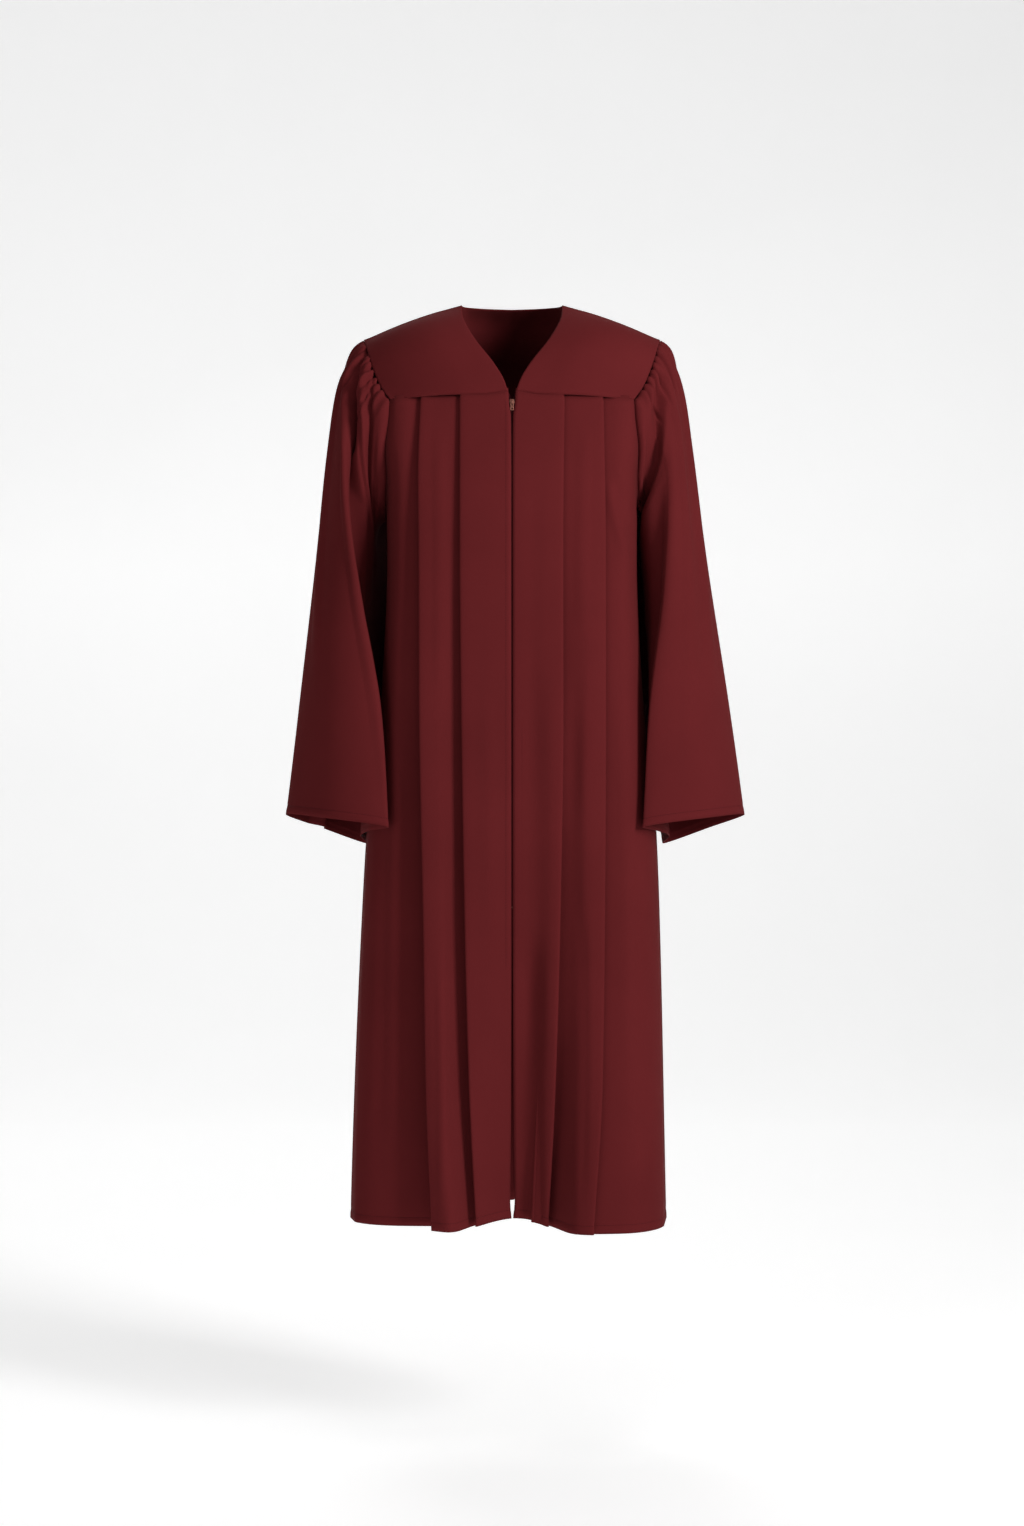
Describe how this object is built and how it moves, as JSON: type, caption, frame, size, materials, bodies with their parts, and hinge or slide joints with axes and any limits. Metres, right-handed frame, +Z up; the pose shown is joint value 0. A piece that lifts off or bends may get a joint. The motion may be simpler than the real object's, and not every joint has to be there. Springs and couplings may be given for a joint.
{
  "type": "choir robe",
  "caption": "Long pleated choir robe with a V neck, front and back yokes, a centre zip and gathered bell sleeves, hollow and open at neck, cuffs and hem.",
  "frame": {"origin": "midway between the shoulders and level with their outer ends, where the wearer carries the robe", "axes": "+Z up, the front faces -Y, +X is the wearer's left"},
  "size_m": [0.5782, 0.3094, 1.1557],
  "materials": {
    "cloth": "matt woven polyester, maroon",
    "tape": "matt woven tape, dark maroon",
    "slider": "satin copper-toned metal"
  },
  "bodies": {
    "robe": {"yoke_front_left": "cloth", "yoke_front_right": "cloth", "yoke_back": "cloth", "front_left": "cloth", "front_right": "cloth", "back": "cloth", "sleeve_left": "cloth", "sleeve_right": "cloth", "zip_tape_left": "tape", "zip_tape_right": "tape", "zip_slider": "slider", "zip_stop": "slider"},
    "pull_tab": {"zip_pull": "slider"}
  },
  "joints": [
    {"name": "pull_hinge", "type": "hinge", "parent": "robe", "child": "pull_tab", "pos_m": [0, -0.11257, -0.11511], "axis": [-1, 0, 0], "range_deg": [0, 165]}
  ]
}
